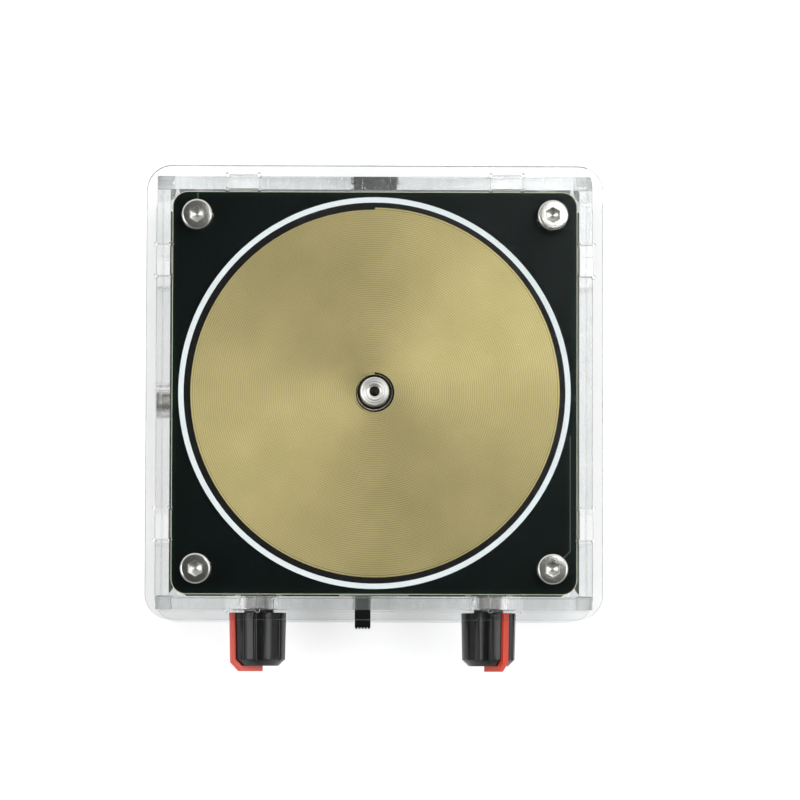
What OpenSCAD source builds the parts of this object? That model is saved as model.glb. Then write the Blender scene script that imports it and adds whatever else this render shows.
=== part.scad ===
// Desktop resonant transformer: a flat spiral coil on its driver, in a box of clear laser-cut sheet.
// Origin: centre of the base's underside. +X is to the right, +Y to the rear, +Z up. Millimetres.

/* [Case] */
// Width of the top and base plates
plate_w = 90; // [88:1:110]
// Depth of the top and base plates
plate_d = 89.6; // [88:0.2:110]
// Thickness of the clear sheet
sheet_t = 2.7; // [2:0.1:4]
// Corner radius of the plates
plate_r = 5; // [2:0.5:8]
// How far the plates stand out past the walls
flange = 2; // [1:0.1:3]
// Length of each wall tab
tab_l = 6; // [4:0.5:10]
// Distance of each tab's centre from the middle of its wall
tab_x = 26; // [22:0.5:28]
// Height of the finger that joins a side wall to the front or rear wall
finger_h = 12; // [6:1:16]
// Clearance between a tab and the sides of its slot
slot_clear = 0.15; // [0.05:0.01:0.3]
// Radius of the small relief at each corner of a slot
relief_r = 0.4; // [0.2:0.05:0.6]

/* [Boards and spacers] */
// Thickness of the driver board and the coil board
board_t = 1.6; // [1:0.1:2]
// Corner radius of the boards
board_r = 3; // [1:0.5:4]
// Gap between the boards' edges and the walls
board_gap = 0.3; // [0.2:0.05:0.6]
// Distance of the screws from the edges of the boards
hole_inset = 5; // [4.5:0.1:6]
// Length of the long spacers between the two boards
long_spacer = 30; // [30:1:40]
// Length of the short spacers under the driver board
short_spacer = 6; // [6:0.5:10]
// Width of the spacers across their flats
spacer_af = 5.5; // [5:0.1:6]

/* [Screws] */
// Shank diameter of the screws
screw_d = 3; // [2.5:0.1:3.2]
// Head diameter of the socket head screws
head_d = 6; // [5:0.1:6]
// Head height of the socket head screws
head_h = 3; // [2.5:0.1:3.5]
// Width of the hexagon socket across its flats
socket_af = 2.5; // [2:0.1:3]
// Depth of the hexagon socket
socket_depth = 1.5; // [1:0.1:1.8]
// Head diameter of the countersunk screws in the base
sunk_d = 5.6; // [5:0.1:6]
// How far a screw or a spacer's stud goes into a spacer
grip = 2.7; // [2:0.1:2.9]
// Radial clearance of a screw in a plate or a board
hole_clear = 0.2; // [0.1:0.05:0.3]

/* [Coil] */
// Direction of the secondary's two ends, anticlockwise from the right
coil_start = 90; // [0:5:355]
// Inner radius of the secondary winding
coil_r = 3.6; // [3.5:0.05:4]
// Distance from one turn of the secondary to the next
turn_pitch = 0.43; // [0.42:0.01:0.6]
// Width of the secondary's trace
trace_w = 0.29; // [0.2:0.01:0.3]
// Height of the copper traces with their lacquer
trace_h = 0.1; // [0.05:0.01:0.15]
// Gap between the secondary's traces and the top plate
coil_gap = 0.1; // [0.05:0.05:0.3]
// Least gap from the secondary to the printed ring
ring_gap = 1; // [0.8:0.1:1.4]
// Width of the printed ring
ring_w = 1.05; // [0.6:0.05:1.2]
// Distance from the printed ring to the board's edge
ring_margin = 1.1; // [0.8:0.05:1.5]
// How far the primary's edge lies inside the secondary's
primary_inset = 0.6; // [0.4:0.1:2]
// Distance from one turn of the primary to the next
primary_pitch = 3; // [2.6:0.1:3.2]
// Number of turns of the primary
primary_turns = 3; // [2:1:4]
// Width of the primary's trace
primary_w = 2.2; // [1.5:0.1:2.3]

/* [Discharge terminal] */
// Diameter of the terminal's post
post_d = 5.7; // [5:0.1:6]
// Height of the post above the coil board
post_h = 5; // [4:0.1:7]
// Radius of the bore that takes the discharge needle
needle_r = 1; // [0.8:0.05:1.2]
// Chamfer at the mouth of that bore
mouth_chamfer = 0.6; // [0.2:0.1:0.8]
// Depth of that bore
needle_depth = 6.5; // [5:0.1:8]
// Gap round the post in the top plate
post_gap = 0.6; // [0.4:0.1:0.8]

/* [Knobs] */
// Distance of each knob from the middle of the front
knob_x = 23.2; // [20:0.1:25]
// Diameter of the knobs
knob_d = 11; // [10:0.1:12.4]
// Length of the knobs' bodies
knob_l = 10.7; // [9:0.1:12]
// Chamfer round the nose of a knob
knob_chamfer = 1.3; // [0.8:0.1:1.8]
// Number of places for a flute: the pointer takes one, and two stay smooth
flute_count = 12; // [8:4:16]
// Radius of each flute
flute_r = 0.5; // [0.3:0.05:0.6]
// Width of the red pointer
pointer_w = 1.3; // [1:0.1:1.6]
// How far the pointer stands proud of the knob's side
pointer_proud = 0.8; // [0.5:0.1:1]
// How far the pointer stands proud of the knob's nose
nose_proud = 1.1; // [0.5:0.1:1.4]
// How deep the pointer lies in the knob
pointer_depth = 0.8; // [0.6:0.1:1]
// Gap between the knobs and the front wall
knob_gap = 0.3; // [0.3:0.05:1]
// Where the left pointer points, clockwise from straight up
left_angle = -66; // [-150:1:150]
// Where the right pointer points, clockwise from straight up
right_angle = 34; // [-150:1:150]

/* [Potentiometers] */
// Height of the shafts above the driver board
pot_axis_h = 6.8; // [6.5:0.1:8]
// Diameter of the shafts
shaft_d = 6; // [5:0.1:6]
// How far the flat of a shaft is cut in
shaft_flat = 1.5; // [1:0.1:1.8]
// Radial clearance of a shaft in its bush
shaft_clear = 0.05; // [0.02:0.01:0.08]
// Outer diameter of the bush
bush_d = 7.2; // [6.8:0.1:7.6]
// Width of the potentiometers' bodies
pot_w = 9.5; // [9:0.1:11]
// Depth of the potentiometers' bodies
pot_depth = 6.8; // [6:0.1:8]
// Gap round a bush in the front wall
bush_gap = 0.3; // [0.2:0.05:0.4]

/* [Switch] */
// Width of the lever
lever_w = 3.2; // [2.5:0.1:3.5]
// Height of the lever
lever_t = 2.6; // [2:0.1:3]
// How far the lever travels from side to side
lever_travel = 4.5; // [3:0.1:5]
// How far the lever stands out past the plates
lever_proud = 1.5; // [1:0.1:3]
// Height of the lever's centre above the driver board
lever_axis_h = 3; // [2.9:0.1:4]
// Gap round the lever at the ends of its travel
lever_gap = 0.45; // [0.35:0.05:0.6]
// Width of the switch's frame
frame_w = 14; // [13:0.5:16]
// Depth of the switch's frame
frame_depth = 6; // [5.5:0.1:7]

/* [Sockets] */
// Width of the power socket
jack_w = 9; // [8.5:0.1:9.5]
// Height of the power socket
jack_h = 11; // [10:0.1:12]
// Length of the power socket
jack_l = 14.4; // [13:0.1:15]
// Height of the power socket's axis above the driver board
jack_axis_h = 6.5; // [6:0.1:7]
// Radius of the power socket's mouth
jack_r = 3; // [2.8:0.05:3.2]
// Radius of the power socket's centre contact
contact_r = 1; // [0.8:0.05:1.2]
// Gap round a socket in its wall
socket_gap = 0.4; // [0.2:0.05:0.5]
// How far the audio socket lies in front of the middle
audio_y = 0.7; // [0:0.1:4]
// Radius of the audio socket's barrel
barrel_r = 3; // [2.8:0.05:3.4]
// Radius of the audio socket's bore
audio_r = 1.8; // [1.75:0.01:1.85]
// Length of the audio socket's body
audio_l = 12; // [11:0.1:14]

/* [Driver] */
// Width of the heat sink
sink_w = 36; // [30:1:40]
// Height of the heat sink
sink_h = 20; // [19:1:24]
// Depth of the heat sink's fins
fin_depth = 9; // [6:0.5:10]
// Thickness of each fin
fin_t = 1.2; // [0.8:0.1:1.4]
// Distance from one fin to the next
fin_pitch = 3.4; // [3:0.1:4]
// Distance of each transistor from the middle
transistor_x = 9; // [7:0.5:11]
// Diameter of the reservoir capacitors
cap_d = 10; // [8:0.5:11]
// Height of the reservoir capacitors
cap_h = 16; // [12:1:20]
// Outer diameter of the feedback ring
ring_d = 14; // [12:0.5:16]
// Height of the feedback ring
ring_h = 6; // [5:0.5:8]

/* [Hidden] */
$fn = 64;
eps = 0.01;

// Levels, from the base up
base_top = sheet_t;
driver_z = base_top + short_spacer;
driver_top = driver_z + board_t;
coil_z = driver_top + long_spacer;
coil_top = coil_z + board_t;
plate_z = coil_top + trace_h + coil_gap;
case_h = plate_z + sheet_t;
wall_h = plate_z - base_top;

// Wall faces, measured from the middle
side_out = plate_w / 2 - flange;
side_in = side_out - sheet_t;
end_out = plate_d / 2 - flange;
end_in = end_out - sheet_t;

// Boards and the places of their screws
board_w = 2 * (side_in - board_gap);
board_d = 2 * (end_in - board_gap);
screw_x = board_w / 2 - hole_inset;
screw_y = board_d / 2 - hole_inset;
hole_r = screw_d / 2 + hole_clear;
thread_r = screw_d / 2 + 0.05;
stud_l = board_t + grip;
well = grip + 0.2;
head_chamfer = 0.3;

// Windings, from the board's edge inwards
ring_out = min(board_w, board_d) / 2 - ring_margin;
ring_in = ring_out - ring_w;
ring_t = trace_h / 2;
turn_count = floor((ring_in - ring_gap - trace_w - coil_r) / turn_pitch);
coil_out = coil_r + turn_count * turn_pitch + trace_w;
primary_r = coil_out - primary_inset;
primary_in = primary_r - primary_turns * primary_pitch - primary_w;
link_r = 0.6;

// Terminal
stem_r = screw_d / 2;
nut_h = 2.4;
stem_l = trace_h + board_t + nut_h + 0.4;
post_z = coil_top + trace_h;
post_chamfer = 0.4;

// Knobs and potentiometers
knob_back = end_out + knob_gap;
knob_front = knob_back + knob_l;
knob_z = driver_top + pot_axis_h;
knob_r = knob_d / 2;
knob_draft = 0.2;
mitre = tan(22.5);
bore_depth = knob_l - 2.4;
shaft_slip = 0.02;
shaft_r = shaft_d / 2;
shaft_in = 4;
pot_front = end_in - 0.3;
pot_h = pot_axis_h + pot_w / 2;
bush_end = end_out - 0.5;
pot_lid = 1;
pot_cheek = 1.25;
pin_w = 0.9;
pin_t = 0.5;
pin_step = 2.5;
pin_reach = 2;

// Switch
lever_z = driver_top + lever_axis_h;
lever_rest = -lever_travel / 2;
lever_tip = plate_d / 2 + lever_proud;
slot_w = lever_w + lever_travel + 2 * lever_gap;
slot_h = lever_t + 2 * lever_gap;
frame_front = end_in - 0.3;
frame_h = lever_axis_h + lever_t / 2 + lever_gap + 1;
frame_wall = 0.6;
carriage_w = lever_w + 1.6;
carriage_gap = 0.35;

// Sockets
jack_z = driver_top + jack_axis_h;
jack_bore = jack_l - 4.4;
audio_z = driver_top + barrel_r;
audio_w = 2 * barrel_r;
audio_back = side_in - 0.3 - audio_l;

// Driver
sink_base = 2.5;
sink_front = 6;
cap_x = 27;
cap_y = 22;
groove_z = 2;
groove_r = 0.7;
ring_x = -17;
ring_y = -10;
wire_t = 0.8;
wire_slack = 0.1;

// Transistors: a tab and a body on three legs
package_w = 10;
tab_t = 1.3;
tab_h = 15.8;
body_t = 4.5;
body_h = 9;
leg_w = 0.8;
leg_t = 0.5;
leg_h = 4;
leg_step = 2.54;
leg_back = 2.8;
tab_hole_z = 17;
dome_h = 2;

// Chips: one long and two short, with their pins on two sides
chip_w = 3.9;
chip_h = 1.5;
chip_lift = 0.1;
long_chip = 9.9;
short_chip = 4.9;
chip_pin_l = 1;
chip_pin_w = 0.4;
chip_pin_step = 1.27;
logic_y = -10;
gate_x = 12;
timer_x = -6;
timer_y = -24;

/* ---- Shapes used by several pieces ---- */

// Rectangle with round corners
module round_rect(w, d, r) {
    square([w - 2 * r, d], center = true);
    square([w, d - 2 * r], center = true);
    for (x = [-1, 1], y = [-1, 1])
        translate([x * (w / 2 - r), y * (d / 2 - r)]) circle(r);
}

// Children at the four corners of a rectangle
module at_corners(x, y) {
    for (i = [-1, 1], j = [-1, 1]) translate([i * x, j * y, 0]) children();
}

// Children at each screw
module at_screws(z) {
    translate([0, 0, z]) at_corners(screw_x, screw_y) children();
}

// Hexagon by its width across the flats
module hexagon(af) {
    circle(r = af / sqrt(3), $fn = 6);
}

// Laser-cut slot with a small round relief at each corner
module slot(w, d) {
    square([w, d], center = true);
    for (i = [-1, 1], j = [-1, 1]) translate([i * w / 2, j * d / 2]) circle(relief_r);
}

// Slots of one plate, one for each wall tab
module tab_slots() {
    long = tab_l + 2 * slot_clear;
    wide = sheet_t + 2 * slot_clear;
    for (i = [-1, 1], j = [-1, 1]) {
        translate([i * tab_x, j * (end_out - sheet_t / 2)]) slot(long, wide);
        translate([i * (side_out - sheet_t / 2), j * tab_x]) slot(wide, long);
    }
}

// Outline of a wall with two tabs above and two below, z up the second axis
module wall_outline(half_w) {
    translate([-half_w, base_top]) square([2 * half_w, wall_h]);
    for (i = [-1, 1]) translate([i * tab_x - tab_l / 2, 0]) square([tab_l, case_h]);
}

// Stands an outline up as a sheet whose outer face is at -d, facing the front
module stand(d) {
    translate([0, -d + sheet_t, 0]) rotate([90, 0, 0]) linear_extrude(sheet_t) children();
}

// Notches that take the side walls' fingers
module finger_notches() {
    long = sheet_t + slot_clear;
    for (i = [-1, 1])
        translate([i * (side_out - long / 2 + 0.5), (base_top + plate_z) / 2])
            square([long + 1, finger_h + 2 * slot_clear], center = true);
}

// Front or rear wall's outline, before its cut-outs
module end_outline() {
    difference() {
        wall_outline(side_out);
        finger_notches();
    }
}

// Side wall's outline, with a finger at each end
module side_outline() {
    wall_outline(end_in - 0.05);
    translate([0, (base_top + plate_z) / 2]) square([2 * end_out, finger_h], center = true);
}

// One trace of a flat spiral: half rings about two centres that lie half a pitch apart
module flat_spiral(r_in, pitch, turns, w, h) {
    group = 16;
    last = 2 * turns - 1;
    linear_extrude(h)
        for (first = [0 : group : last]) union()
            for (i = [first : min(first + group - 1, last)])
                translate([i % 2 == 0 ? 0 : pitch / 2, 0]) rotate(i % 2 == 0 ? 0 : 180)
                    half_ring(r_in + i * pitch / 2, w);
}

// Upper half of a flat ring
module half_ring(r, w) {
    reach = 2 * (r + w);
    difference() {
        circle(r + w);
        circle(r);
        translate([-reach, -2 * reach]) square(2 * reach);
    }
}

/* ---- Case ---- */

module base_plate() {
    color([0.85, 0.9, 0.92, 0.35]) difference() {
        linear_extrude(sheet_t) difference() {
            round_rect(plate_w, plate_d, plate_r);
            tab_slots();
        }
        at_screws(-eps) cylinder(r = hole_r, h = sheet_t + 2 * eps);
        at_screws(0) sunk_cone(hole_clear);
    }
}

module top_plate() {
    color([0.85, 0.9, 0.92, 0.35]) translate([0, 0, plate_z])
        linear_extrude(sheet_t) difference() {
            round_rect(plate_w, plate_d, plate_r);
            tab_slots();
            at_corners(screw_x, screw_y) circle(hole_r);
            circle(post_d / 2 + post_gap);
        }
}

module front_wall() {
    color([0.85, 0.9, 0.92, 0.35]) stand(end_out) difference() {
        end_outline();
        for (i = [-1, 1]) translate([i * knob_x, knob_z]) circle(bush_d / 2 + bush_gap);
        translate([0, lever_z]) square([slot_w, slot_h], center = true);
    }
}

module rear_wall() {
    sill = driver_top - socket_gap;
    color([0.85, 0.9, 0.92, 0.35]) mirror([0, 1, 0]) stand(end_out) difference() {
        end_outline();
        translate([-jack_w / 2 - socket_gap, sill])
            square([jack_w + 2 * socket_gap, jack_h + 2 * socket_gap]);
    }
}

module left_wall() {
    color([0.85, 0.9, 0.92, 0.35]) rotate([0, 0, -90]) stand(side_out) difference() {
        side_outline();
        translate([audio_y, audio_z]) circle(barrel_r + socket_gap);
    }
}

module right_wall() {
    color([0.85, 0.9, 0.92, 0.35]) rotate([0, 0, 90]) stand(side_out) side_outline();
}

/* ---- Boards and windings ---- */

module coil_board() {
    color([0.08, 0.1, 0.1]) translate([0, 0, coil_z])
        linear_extrude(board_t) difference() {
            round_rect(board_w, board_d, board_r);
            at_corners(screw_x, screw_y) circle(hole_r);
            circle(stem_r + hole_clear);
        }
}

// Winding, and the pad under the terminal
module secondary_winding() {
    color([0.72, 0.66, 0.44]) translate([0, 0, coil_top]) {
        rotate([0, 0, coil_start]) flat_spiral(coil_r, turn_pitch, turn_count, trace_w, trace_h);
        linear_extrude(trace_h) difference() {
            circle(d = post_d);
            circle(stem_r + hole_clear);
        }
    }
}

module printed_ring() {
    color([0.87, 0.9, 0.9]) translate([0, 0, coil_top])
        linear_extrude(ring_t) difference() {
            circle(ring_out);
            circle(ring_in);
        }
}

module primary_winding() {
    color([0.7, 0.45, 0.25]) translate([0, 0, coil_z - trace_h])
        flat_spiral(primary_in, primary_pitch, primary_turns, primary_w, trace_h);
}

module driver_board() {
    color([0.1, 0.12, 0.12]) translate([0, 0, driver_z])
        linear_extrude(board_t) difference() {
            round_rect(board_w, board_d, board_r);
            at_corners(screw_x, screw_y) circle(hole_r);
        }
}

// Stiff wires from the driver board to the two ends of the primary
module coil_links() {
    color([0.75, 0.15, 0.1])
        for (x = [primary_in + primary_w / 2, primary_r - primary_w / 2])
            translate([x, 0, driver_top])
                cylinder(r = link_r, h = coil_z - trace_h - driver_top);
}

/* ---- Discharge terminal ---- */

// Turned post with a chamfered bore, and a stem through the board
module discharge_terminal() {
    r = post_d / 2;
    color("silver") translate([0, 0, post_z]) rotate_extrude() polygon([
        [0, -stem_l], [stem_r, -stem_l], [stem_r, 0], [r, 0],
        [r, post_h - post_chamfer], [r - post_chamfer, post_h],
        [needle_r + mouth_chamfer, post_h], [needle_r, post_h - mouth_chamfer],
        [needle_r, post_h - needle_depth], [0, post_h - needle_depth]
    ]);
}

module terminal_nut() {
    color("silver") translate([0, 0, coil_z - nut_h]) linear_extrude(nut_h) difference() {
        hexagon(spacer_af);
        circle(stem_r + 0.05);
    }
}

/* ---- Screws and spacers ---- */

// Socket head screw, its head standing on z = 0
module socket_screw(shank) {
    r = head_d / 2;
    difference() {
        union() {
            rotate_extrude() polygon([
                [0, 0], [r, 0], [r, head_h - head_chamfer], [r - head_chamfer, head_h], [0, head_h]
            ]);
            translate([0, 0, -shank]) cylinder(d = screw_d, h = shank + eps);
        }
        translate([0, 0, head_h - socket_depth]) linear_extrude(socket_depth + eps)
            hexagon(socket_af);
    }
}

module top_screws() {
    color("silver") at_screws(case_h) socket_screw(case_h - coil_z + grip);
}

// Cone of a countersunk head, its wide end down, grown outwards by a clearance
module sunk_cone(clear) {
    r = sunk_d / 2 + clear;
    depth = r - screw_d / 2;
    translate([0, 0, -eps]) cylinder(r = r, h = 0.2 + eps);
    translate([0, 0, 0.2]) cylinder(r1 = r, r2 = r - depth + clear, h = depth - clear);
}

module base_screws() {
    color("silver") at_screws(0) difference() {
        union() {
            translate([0, 0, 0.1]) sunk_cone(0);
            cylinder(d = screw_d, h = base_top + grip);
        }
        translate([0, 0, -1]) cylinder(r = sunk_d, h = 1.1);
        linear_extrude(1.2) hexagon(socket_af - 0.5);
    }
}

// Six-sided spacer with a blind threaded well at the top, and at the foot a stud or a second well
module spacer(length, stud) {
    difference() {
        union() {
            linear_extrude(length) hexagon(spacer_af);
            if (stud) translate([0, 0, -stud_l]) cylinder(d = screw_d, h = stud_l + eps);
        }
        translate([0, 0, length - well]) cylinder(r = thread_r, h = well + eps);
        if (!stud) translate([0, 0, -eps]) cylinder(r = thread_r, h = well + eps);
    }
}

module long_spacers() {
    color([0.8, 0.8, 0.78]) at_screws(driver_top) spacer(long_spacer, true);
}

module short_spacers() {
    color([0.8, 0.8, 0.78]) at_screws(base_top) spacer(short_spacer, false);
}

/* ---- Potentiometers and knobs ---- */

// Children drawn along +Z from the wall's line outwards, laid on the axis of one knob
module on_knob_axis(x) {
    translate([x, 0, knob_z]) rotate([90, 0, 0]) children();
}

// Half section of a knob from its back to its nose, grown outwards at its side and its nose
module knob_profile(side, nose, back = knob_back) {
    r = knob_r - knob_draft;
    polygon([
        [0, back], [knob_r + side, back],
        [r + side, knob_front - knob_chamfer + nose - side + side * mitre],
        [r - knob_chamfer + side * mitre, knob_front + nose],
        [0, knob_front + nose]
    ]);
}

// Half slab in which the pointer lies, from the axis towards +Y
module pointer_slab(back) {
    translate([-pointer_w / 2, -pointer_w / 2, back]) cube([pointer_w, knob_d, 2 * knob_l]);
}

// Shaft's outline, round with one flat
module shaft_outline(grow) {
    difference() {
        circle(shaft_r + grow);
        translate([-shaft_d, shaft_r - shaft_flat + grow]) square(2 * shaft_d);
    }
}

// Knob with flutes apart from two smooth cheeks, a bore for the shaft and a groove for its pointer
module knob(angle) {
    rotate([0, 0, -angle]) difference() {
        rotate_extrude() knob_profile(0, 0);
        for (i = [1 : flute_count - 1]) if (i % (flute_count / 2) != flute_count / 4)
            rotate([0, 0, i * 360 / flute_count])
                translate([0, knob_r, knob_back - 1])
                    cylinder(r = flute_r, h = 2 * knob_l);
        translate([0, 0, knob_back - eps]) linear_extrude(bore_depth + eps)
            shaft_outline(shaft_slip);
        difference() {
            pointer_slab(knob_back - 1);
            rotate_extrude() knob_profile(-pointer_depth, -pointer_depth, knob_back - 2);
        }
    }
}

// Pointer: a strip that runs along the knob's side and over its nose to the middle
module pointer(angle) {
    rotate([0, 0, -angle]) difference() {
        intersection() {
            rotate_extrude() knob_profile(pointer_proud, nose_proud);
            pointer_slab(knob_back);
        }
        rotate_extrude() knob_profile(-pointer_depth, -pointer_depth, knob_back - 1);
    }
}

// Shaft, from inside the potentiometer to the bottom of the knob's bore
module shaft(angle) {
    rotate([0, 0, -angle]) {
        translate([0, 0, pot_front - shaft_in])
            cylinder(r = shaft_r, h = knob_back - pot_front + shaft_in);
        translate([0, 0, knob_back]) linear_extrude(bore_depth - 0.3) shaft_outline(0);
    }
}

// Body, bush and soldered pins of a potentiometer
module potentiometer() {
    back = pot_front - pot_depth;
    difference() {
        union() {
            translate([-pot_w / 2, -pot_axis_h, back]) cube([pot_w, pot_h, pot_depth - pot_lid]);
            translate([0, 0, pot_front - pot_lid]) linear_extrude(pot_lid) intersection() {
                circle(d = pot_w + 2 * pot_cheek);
                translate([-pot_w / 2, -pot_axis_h]) square([pot_w, pot_h]);
            }
            translate([0, 0, back]) cylinder(d = bush_d, h = bush_end - back);
            for (i = [-1 : 1])
                translate([i * pin_step - pin_w / 2, -pot_axis_h, back - pin_reach]) pot_pin();
        }
        translate([0, 0, pot_front - shaft_in - 0.3])
            cylinder(r = shaft_r + shaft_clear, h = bush_end);
    }
}

// Flat pin that leaves the back of the body and turns down to the board
module pot_pin() {
    cube([pin_w, pin_reach + pin_t, pin_t]);
    translate([0, pin_reach, 0]) cube([pin_w, pin_t, pin_reach + eps]);
}

module left_potentiometer() {
    color([0.12, 0.12, 0.12]) on_knob_axis(-knob_x) potentiometer();
}

module right_potentiometer() {
    color([0.12, 0.12, 0.12]) on_knob_axis(knob_x) potentiometer();
}

module left_shaft() {
    color([0.15, 0.15, 0.15]) on_knob_axis(-knob_x) shaft(left_angle);
}

module right_shaft() {
    color([0.15, 0.15, 0.15]) on_knob_axis(knob_x) shaft(right_angle);
}

module left_knob() {
    color([0.16, 0.17, 0.17]) on_knob_axis(-knob_x) knob(left_angle);
}

module right_knob() {
    color([0.16, 0.17, 0.17]) on_knob_axis(knob_x) knob(right_angle);
}

module left_pointer() {
    color([0.9, 0.3, 0.2]) on_knob_axis(-knob_x) pointer(left_angle);
}

module right_pointer() {
    color([0.9, 0.3, 0.2]) on_knob_axis(knob_x) pointer(right_angle);
}

/* ---- Switch ---- */

// Folded metal frame over the lever's carriage, open at the front
module switch_frame() {
    inner_w = frame_w - 2 * frame_wall;
    color([0.75, 0.75, 0.75]) translate([0, -frame_front, driver_top]) difference() {
        translate([-frame_w / 2, 0, 0]) cube([frame_w, frame_depth, frame_h]);
        translate([-inner_w / 2, frame_wall, lever_axis_h - lever_t / 2 - carriage_gap])
            cube([inner_w, frame_depth - 2 * frame_wall, lever_t + 2 * carriage_gap]);
        translate([-slot_w / 2, -1, lever_axis_h - slot_h / 2]) cube([slot_w, 2, slot_h]);
    }
}

// Lever with its carriage, and serrations across its end
module switch_lever() {
    carriage_y = frame_front - frame_wall - carriage_gap;
    carriage_l = frame_depth - 2 * frame_wall - 2 * carriage_gap;
    color([0.1, 0.1, 0.1]) translate([lever_rest, 0, lever_z]) difference() {
        union() {
            translate([-carriage_w / 2, -carriage_y, -lever_t / 2])
                cube([carriage_w, carriage_l, lever_t]);
            translate([-lever_w / 2, -lever_tip, -lever_t / 2])
                cube([lever_w, lever_tip - carriage_y + eps, lever_t]);
        }
        for (i = [-1.5 : 1.5]) translate([i * lever_w / 5, -lever_tip, -lever_t])
            cylinder(r = lever_w / 13, h = 2 * lever_t);
    }
}

/* ---- Sockets ---- */

// Power socket, its mouth flush with the outer face of the rear wall
module power_socket() {
    color([0.08, 0.08, 0.08]) translate([0, end_out, driver_top]) difference() {
        translate([-jack_w / 2, -jack_l, 0]) cube([jack_w, jack_l, jack_h]);
        translate([-jack_w, -jack_l - 1, jack_axis_h + jack_w / 3])
            cube([2 * jack_w, jack_l - 2.4, jack_h]);
        translate([0, eps, jack_axis_h]) rotate([90, 0, 0])
            cylinder(r = jack_r, h = jack_bore + eps);
    }
}

// Centre contact with a round nose, standing in the socket
module power_contact() {
    color("silver") translate([0, end_out - jack_bore, jack_z]) rotate([-90, 0, 0])
        rotate_extrude() difference() {
            union() {
                square([contact_r, jack_bore - 1 - contact_r]);
                translate([0, jack_bore - 1 - contact_r]) circle(contact_r);
            }
            translate([-2 * contact_r, -1]) square([2 * contact_r, jack_bore + 2]);
        }
}

// Audio socket: a body on the board, and a barrel through the left wall
module audio_socket() {
    body_front = side_in - 0.3;
    color([0.2, 0.2, 0.2]) translate([0, -audio_y, audio_z]) rotate([0, -90, 0]) difference() {
        union() {
            translate([-barrel_r, -audio_w / 2, audio_back]) cube([audio_w, audio_w, audio_l]);
            translate([0, 0, body_front - eps]) cylinder(r = barrel_r, h = side_out - body_front);
        }
        translate([0, 0, audio_back + 1]) cylinder(r = audio_r, h = side_out);
    }
}

/* ---- Driver ---- */

// Extruded heat sink, its flat side to the front and its fins to the rear
module heat_sink() {
    count = floor((sink_w - fin_t) / fin_pitch);
    color([0.15, 0.15, 0.16]) translate([0, sink_front, driver_top]) difference() {
        linear_extrude(sink_h) {
            translate([-sink_w / 2, 0]) square([sink_w, sink_base]);
            for (i = [0 : count]) translate([(i - count / 2) * fin_pitch - fin_t / 2, 0])
                square([fin_t, sink_base + fin_depth]);
        }
        for (i = [-1, 1]) translate([i * transistor_x, 0, tab_hole_z])
            rotate([90, 0, 0]) cylinder(r = thread_r, h = 2 * sink_base, center = true);
    }
}

// Two transistors in flat packages, standing on their legs against the heat sink
module power_transistors() {
    color([0.12, 0.12, 0.12]) translate([0, sink_front, driver_top])
        for (i = [-1, 1]) translate([i * transistor_x, 0, 0]) difference() {
            union() {
                translate([-package_w / 2, -tab_t, leg_h]) cube([package_w, tab_t, tab_h]);
                translate([-package_w / 2, -body_t, leg_h]) cube([package_w, body_t, body_h]);
                for (j = [-1 : 1]) translate([j * leg_step - leg_w / 2, -leg_back, 0])
                    cube([leg_w, leg_t, leg_h + eps]);
            }
            translate([0, 0, tab_hole_z]) rotate([90, 0, 0])
                cylinder(r = hole_r, h = 4 * tab_t, center = true);
        }
}

// Round-headed screws that hold the transistors on the heat sink
module transistor_screws() {
    shank = tab_t + sink_base;
    color("silver") for (i = [-1, 1])
        translate([i * transistor_x, sink_front - tab_t, driver_top + tab_hole_z])
            rotate([90, 0, 0]) {
                translate([0, 0, -shank]) cylinder(d = screw_d, h = shank + eps);
                rotate_extrude() intersection() {
                    translate([0, dome_h - head_d]) circle(head_d);
                    square([head_d / 2, dome_h]);
                }
            }
}

// Can of a capacitor with a rolled groove near its foot
module capacitor() {
    r = cap_d / 2;
    rotate_extrude() difference() {
        square([r, cap_h]);
        translate([r + groove_r / 2, groove_z]) circle(groove_r);
    }
}

module capacitors() {
    color([0.1, 0.12, 0.2]) for (i = [-1, 1])
        translate([i * cap_x, cap_y, driver_top]) capacitor();
}

// Ferrite ring, lifted off the board by the thickness of its winding
module feedback_ring() {
    color([0.25, 0.25, 0.25]) translate([ring_x, ring_y, driver_top + wire_t])
        rotate_extrude() translate([ring_d / 4, 0]) square([ring_d / 4, ring_h]);
}

// Turns of wire round the ring, each a square loop
module ring_winding() {
    inner = ring_d / 4;
    color([0.75, 0.4, 0.2]) translate([ring_x, ring_y, driver_top])
        for (i = [0 : 7]) rotate([0, 0, i * 45]) difference() {
            translate([inner - wire_t - wire_slack, -wire_t / 2, 0])
                cube([inner + 2 * (wire_t + wire_slack), wire_t, ring_h + 2 * wire_t]);
            translate([inner - wire_slack, -wire_t, wire_t])
                cube([inner + 2 * wire_slack, 2 * wire_t, ring_h]);
        }
}

// Chip in a flat package with pins on two sides
module chip(l, pins) {
    translate([-chip_w / 2, -l / 2, chip_lift]) cube([chip_w, l, chip_h]);
    for (i = [-1, 1], j = [0 : pins - 1])
        translate([i * (chip_w + chip_pin_l) / 2, (j - (pins - 1) / 2) * chip_pin_step, chip_h / 4])
            cube([chip_pin_l + 2 * eps, chip_pin_w, chip_h / 2], center = true);
}

module controller_chips() {
    color([0.1, 0.1, 0.1]) translate([0, 0, driver_top]) {
        translate([0, logic_y, 0]) chip(long_chip, 7);
        translate([gate_x, logic_y, 0]) chip(short_chip, 4);
        translate([timer_x, timer_y, 0]) chip(short_chip, 4);
    }
}

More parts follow.
